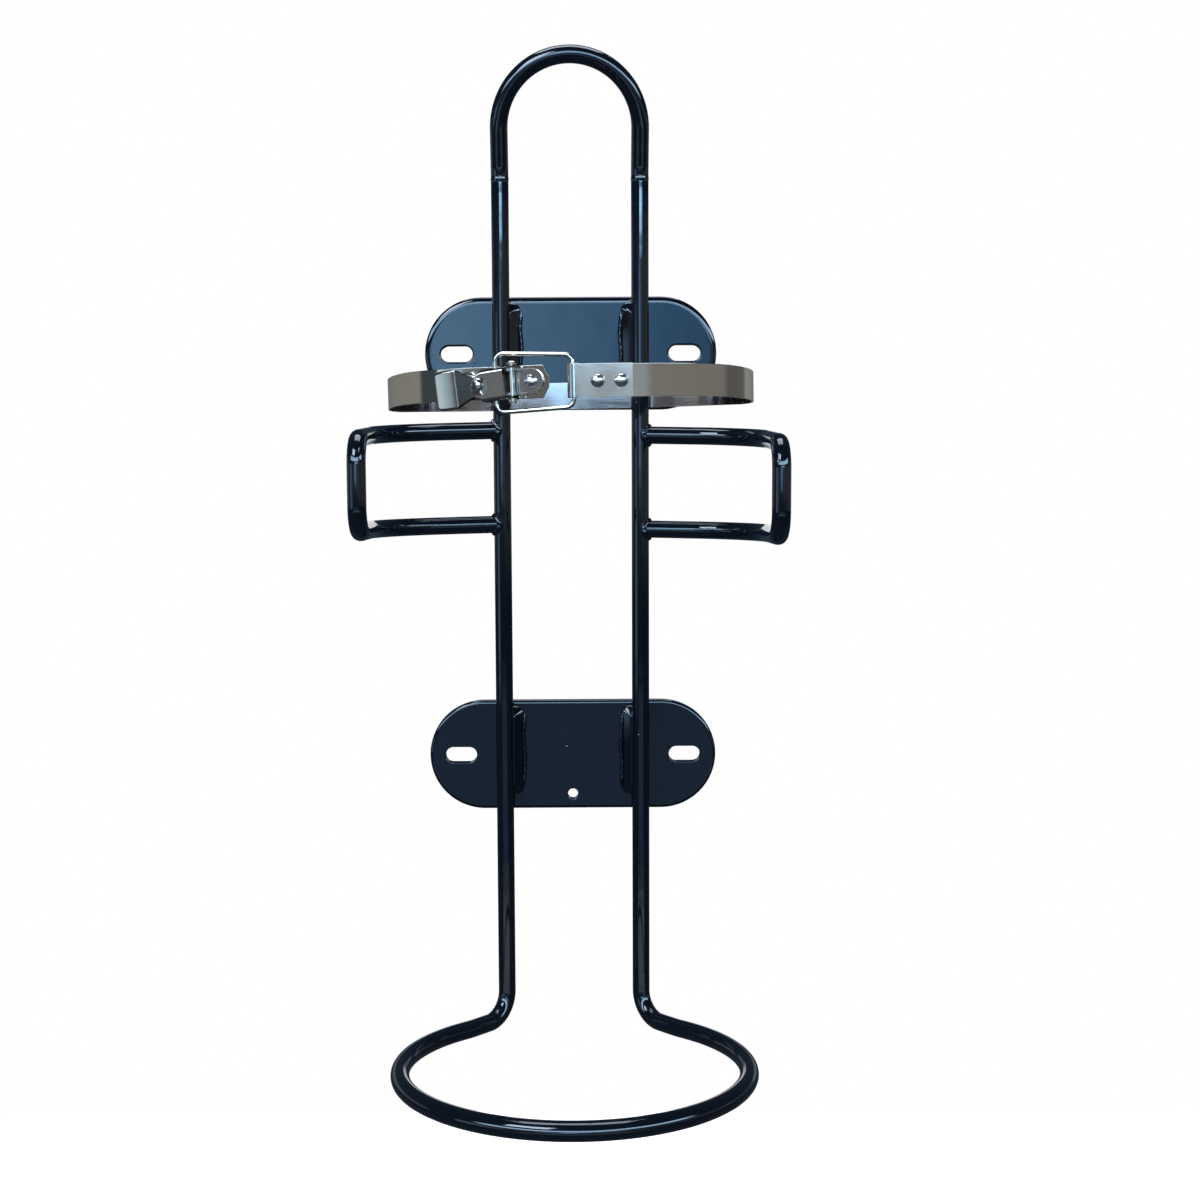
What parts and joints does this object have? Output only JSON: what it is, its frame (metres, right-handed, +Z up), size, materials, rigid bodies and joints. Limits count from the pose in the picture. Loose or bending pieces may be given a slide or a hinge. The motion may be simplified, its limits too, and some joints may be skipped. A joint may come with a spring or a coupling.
{
  "type": "fire extinguisher bracket",
  "caption": "Wall bracket bent from black rod: hairpin top, ring foot, side arms, slotted wall plates and a stainless strap with an over-centre latch.",
  "frame": {"origin": "centre of the upper wall plate's back face", "axes": "+Z up, +Y into the wall, +X to the right seen from the front"},
  "size_m": [0.23, 0.2082, 0.5625],
  "materials": {
    "black_gloss_paint": "gloss black paint with a faint blue cast",
    "stainless_strip": "bright rolled stainless strip",
    "satin_stainless": "satin stainless",
    "bright_steel": "bright steel wire and rivets"
  },
  "bodies": {
    "bracket": {"frame_rod": "black_gloss_paint", "left_arm": "black_gloss_paint", "right_arm": "black_gloss_paint", "upper_plate": "black_gloss_paint", "lower_plate": "black_gloss_paint", "upper_left_pad": "black_gloss_paint", "upper_right_pad": "black_gloss_paint", "lower_left_pad": "black_gloss_paint", "lower_right_pad": "black_gloss_paint", "strap": "stainless_strip", "latch_base": "stainless_strip", "catch_plate": "satin_stainless", "base_left_rivet": "bright_steel", "base_right_rivet": "bright_steel", "catch_left_rivet": "bright_steel", "catch_right_rivet": "bright_steel", "pivot_pin": "bright_steel", "upper_washer": "bright_steel", "lower_washer": "bright_steel"},
    "lever": {"lever": "stainless_strip"},
    "bail": {"bail": "bright_steel"}
  },
  "joints": [
    {"name": "lever_hinge", "type": "hinge", "parent": "bracket", "child": "lever", "pos_m": [-0.02693, -0.1993, -0.02493], "axis": [-0.0422, 0.0085, 0.9991], "range_deg": [0, 90]},
    {"name": "bail_hinge", "type": "hinge", "parent": "lever", "child": "bail", "pos_m": [-0.0347, -0.19578, -0.02529], "axis": [-0.0422, 0.0085, 0.9991], "range_deg": [-72, 0]}
  ],
  "couplings": [
    {"joint": "bail_hinge", "follows": "lever_hinge", "ratio": -0.79}
  ]
}
